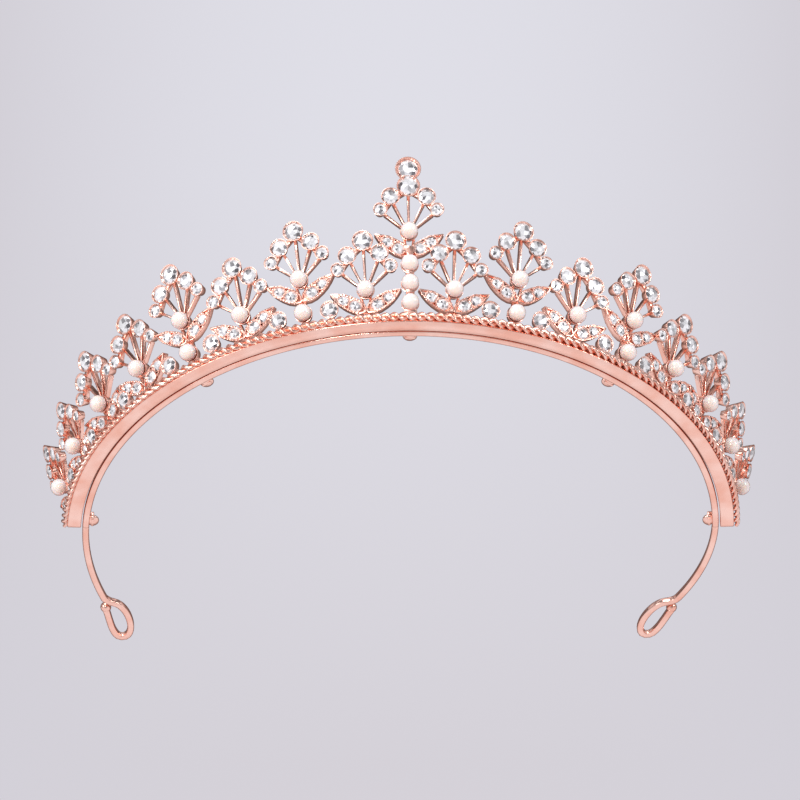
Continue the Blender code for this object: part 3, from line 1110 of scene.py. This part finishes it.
base_cup, base_stone = base_stone_pattern()
for place_number, stone_arc in enumerate(base_stone_arcs(), 1):
    for side_word, sign in (("left", -1), ("right", 1)):
        spot = in_metres(crest_place(sign * stone_arc))
        title = f"{side_word}_{place_number}"
        hand_over(copy_of(base_cup, f"base_cup_{title}", spot), CAST, "rose_gold")
        hand_over(copy_of(base_stone, f"base_stone_{title}", spot), STONE, "rhinestone")
print(2 * len(base_stone_arcs()), "stones on the base")

# %% [markdown]
# ## The pearls
#
# A pearl bead is not quite a ball: it is a touch oval, and its back is flat where it is glued to the
# bowl. The end sprays are smaller, but their pearls are the same size, so only the height of a
# pearl shrinks with its spray. A painted warm reflection of the rose gold below is kept on the mesh
# as an attribute: it grows from none at a pearl's middle to its full strength at its lowest point.

# %% Pearls
FLAT_FROM, FLAT_SHARE = -0.8 * PEARL_RADIUS, 0.4  # behind this the pearl is pressed flatter
OVAL = (1, 1.015, 0.985)


def pearl_model():
    ball = start(
        "pearl_model", bpy.ops.mesh.primitive_uv_sphere_add, segments=36, ring_count=22,
        radius=PEARL_RADIUS * MM,
    )
    choose(ball, "VERT", lambda middle, _: middle.z < FLAT_FROM)
    bpy.ops.transform.resize(value=(1, 1, FLAT_SHARE), center_override=(0, 0, FLAT_FROM * MM))
    bpy.ops.mesh.select_all(action="SELECT")
    bpy.ops.transform.resize(value=OVAL)
    let_go()
    # Painted reflection: the share of warm light from the rose gold below, none at the middle
    plating_tone_and_pearl_bounce = ball.data.attributes.new("plating_tone_and_pearl_bounce", "FLOAT", "POINT")
    for spot, share in zip(ball.data.vertices, plating_tone_and_pearl_bounce.data):
        share.value = min(max(-spot.co.y / MM / PEARL_RADIUS, 0), 1)
    return smooth(ball, 180)


PEARL_MODEL = pearl_model()


def set_pearl(name, node, index, height):
    lifted = (end_scale(index) @ Vector((0, height, 0))).y
    place = in_metres(crest_place(spray_arc(index))) @ shift(0, lifted, PEARL_FORWARD)
    return hand_over(copy_of(PEARL_MODEL, name, place), PEARL, "pearl", node)


for number in ALL_SPRAYS:
    title = side_name(number)
    set_pearl(f"round_pearl_{title}", f"pearl_{title}", number, kind_of(number)[1])
    if abs(number) in HIGH_SPRAYS:
        set_pearl(f"round_lower_pearl_{title}", f"lower_pearl_{title}", number, COLUMN_PEARLS[0])
for level, height in zip(("bottom", "middle", "top"), COLUMN_PEARLS):
    set_pearl(f"round_column_pearl_{level}", f"column_pearl_{level}", 0, height)
print(count(PEARL_MODEL))

# %% [markdown]
# ## Clearing the bench
#
# The models that were copied have done their work, and only the copies belong to the tiara.

# %% Remove the models
spent = [STONE_MODEL, LEAF_MODEL, PEARL_MODEL, base_cup, base_stone]
for pair in PATTERNS.values():
    spent += pair
for model_part in spent:
    bpy.data.objects.remove(model_part)
print(len(spent), "models removed")

# %% [markdown]
# ## Camera, floor and light
#
# The tiara lies on its base here, but it is shown as if it stood on the ends of its loops with its
# front raised, so the camera looks up at it from below the plane of the band. The floor, the pale
# backdrop and the dome round everything mustn't get in the way: they show only on their front, cast
# no shadow and aren't reflected. The lamps skip the floor, which gives a little light of its own. The
# room is darker behind the camera and behind the tiara, and dark cloths hang in it, because polished
# metal needs something dark to reflect.

# %% The camera
AZIMUTH, ELEVATION, ROLL = -3.18, -41.68, -2.14
TARGET = Vector((-0.23, 1.92, 19.80)) * MM
DISTANCE = 1.5


def direction(azimuth, elevation):
    """From the tiara towards a camera."""
    a, e = math.radians(azimuth), math.radians(elevation)
    return Vector((math.sin(a) * math.cos(e), -math.cos(a) * math.cos(e), math.sin(e)))


def add_camera():
    data = bpy.data.cameras.new("camera")
    data.lens, data.sensor_width = 325.4, 36
    data.clip_start, data.clip_end = 0.05, 20
    camera = bpy.data.objects.new("camera", data)
    bpy.context.scene.collection.objects.link(camera)
    back = direction(AZIMUTH, ELEVATION)
    turn = (-back).to_track_quat("-Z", "Y") @ Quaternion((0, 0, 1), math.radians(ROLL))
    camera.location = TARGET + back * DISTANCE
    camera.rotation_mode = "QUATERNION"
    camera.rotation_quaternion = turn
    bpy.context.scene.camera = camera
    return turn


CAMERA_TURN = add_camera()
TO_CAMERA = CAMERA_TURN @ Vector((0, 0, 1))
PICTURE_UP = CAMERA_TURN @ Vector((0, 1, 0))
PICTURE_RIGHT = CAMERA_TURN @ Vector((1, 0, 0))
print("the picture's up is", tuple(round(v, 2) for v in PICTURE_UP))


# %% The floor and the backdrop
FLOOR_SIZE, FLOOR_DROP, FLOOR_GLOW = 6, 0.0002, 0.35
WALL_SIZE, WALL_DISTANCE = 0.4, 0.5
DOME_RADIUS = 2.9


def one_sided(name, shade, glow, lit):
    """A material that shows only on its front; glow is its own light, and lamps light it if lit."""
    material, wire = new_material(name)
    colour = shade(wire)
    sockets = {
        "Base Color": colour if lit else (0, 0, 0, 1),
        "Specular IOR Level": 0.0,
        "Emission Color": colour,
        "Emission Strength": glow,
    }
    front = wire.node("ShaderNodeBsdfPrincipled", None, sockets)
    clear = wire.node("ShaderNodeBsdfTransparent")
    back = wire.node("ShaderNodeNewGeometry", out="Backfacing")
    mixed = wire.node("ShaderNodeMixShader", None, {0: back, 1: front, 2: clear})
    wire.node("ShaderNodeOutputMaterial", None, {"Surface": mixed})
    return material


def seen_only(piece):
    """The camera sees it, and nothing is lit, reflected or shaded by it."""
    piece.visible_glossy = piece.visible_diffuse = False
    piece.visible_transmission = piece.visible_shadow = False
    return piece


def stage_plane(name, size, place, material):
    plane = start(name, bpy.ops.mesh.primitive_plane_add, size=size)
    let_go()
    plane.matrix_world = place
    plane.data.materials.append(material)
    return seen_only(plane)


def floor_shade(wire):
    return noise(wire, 6, 1.0).tint((0.86, 0.83, 0.87), (0.90, 0.87, 0.91))


below = Matrix.Translation((0, 0, -FLOOR_DROP))
floor = stage_plane("floor", FLOOR_SIZE, below, one_sided("pale_floor", floor_shade, FLOOR_GLOW, True))


def backdrop_shade(wire):
    """A painted pool of light: brightest above the middle, and painted shade darker to the sides."""
    place = wire.node("ShaderNodeTexCoord", out="Object")
    across, up = (wire.node("ShaderNodeSeparateXYZ", None, {"Vector": place}, out=axis) for axis in "XY")
    low = up.between(-0.10, 0.06).tint((0.665, 0.640, 0.690), (0.740, 0.735, 0.800))
    return (across * across).between(0.0, 0.012).tint(low, (0.655, 0.635, 0.690))


def dome_shade(wire):
    return noise(wire, 0.5, 0.0).tint((0.60, 0.585, 0.635), (0.63, 0.61, 0.66))


facing = CAMERA_TURN.to_matrix().to_4x4()
facing.translation = TARGET - TO_CAMERA * WALL_DISTANCE
stage_plane("backdrop", WALL_SIZE, facing, one_sided("pale_backdrop", backdrop_shade, 1.0, False))
dome = start("dome", bpy.ops.mesh.primitive_uv_sphere_add, segments=48, ring_count=24, radius=DOME_RADIUS)
bpy.ops.mesh.flip_normals()
let_go()
dome.data.materials.append(one_sided("pale_dome", dome_shade, 1.0, False))
seen_only(dome)
print("floor, backdrop and dome")


# %% The room
def room():
    world = bpy.data.worlds.new("room")
    bpy.context.scene.world = world
    world.use_nodes = True
    world.node_tree.nodes.clear()
    wire = Wire(world.node_tree)
    looking = wire.node("ShaderNodeTexCoord", out="Generated")

    def towards(way):
        sockets = {0: looking, 1: way}
        return wire.node("ShaderNodeVectorMath", {"operation": "DOT_PRODUCT"}, sockets, out="Value")

    behind = towards(TO_CAMERA).between(0.75, 0.98)
    cloth = wire.node("ShaderNodeTexNoise", None, {"Vector": looking, "Scale": 2.6, "Detail": 1.0})
    above = towards(PICTURE_UP).between(-0.35, 0.1)
    flags = cloth.between(0.47, 0.55) * (0.15 + 0.85 * above)
    away = towards(-TO_CAMERA).between(0.2, 0.75)
    strength = 1.05 * (1 - 0.4 * behind) * (1 - 0.72 * flags) * (1 - 0.78 * away)
    colour = away.tint((0.93, 0.92, 0.97), (0.88, 0.68, 0.64))
    light = wire.node("ShaderNodeBackground", None, {"Color": colour, "Strength": strength})
    wire.node("ShaderNodeOutputWorld", None, {"Surface": light})


NOT_LIT = bpy.data.collections.new("not_lit_by_lamps")
NOT_LIT.objects.link(floor)
NOT_LIT.collection_objects[0].light_linking.link_state = "EXCLUDE"


def softbox(name, across, up, out, size, power, reach=0.7):
    """A square lamp placed by how far it is to the picture's right, up and towards the camera."""
    data = bpy.data.lights.new(name, "AREA")
    data.size, data.energy = size, power
    lamp = bpy.data.objects.new(name, data)
    bpy.context.scene.collection.objects.link(lamp)
    way = (PICTURE_RIGHT * across + PICTURE_UP * up + TO_CAMERA * out).normalized()
    lamp.location = TARGET + way * reach
    lamp.rotation_mode = "QUATERNION"
    lamp.rotation_quaternion = way.to_track_quat("Z", "Y")
    lamp.light_linking.receiver_collection = NOT_LIT


room()
softbox("key", -0.3, 1.0, 0.4, 0.35, 1.7)
softbox("fill_left", -1.0, 0.3, 0.6, 0.25, 0.7)
softbox("fill_right", 1.0, 0.5, 0.5, 0.2, 0.9)
softbox("spark", -0.35, 0.5, 1.3, 0.15, 1.1)
print("room and four lamps")

# %% Finish
bpy.context.scene.view_settings.view_transform = "Standard"
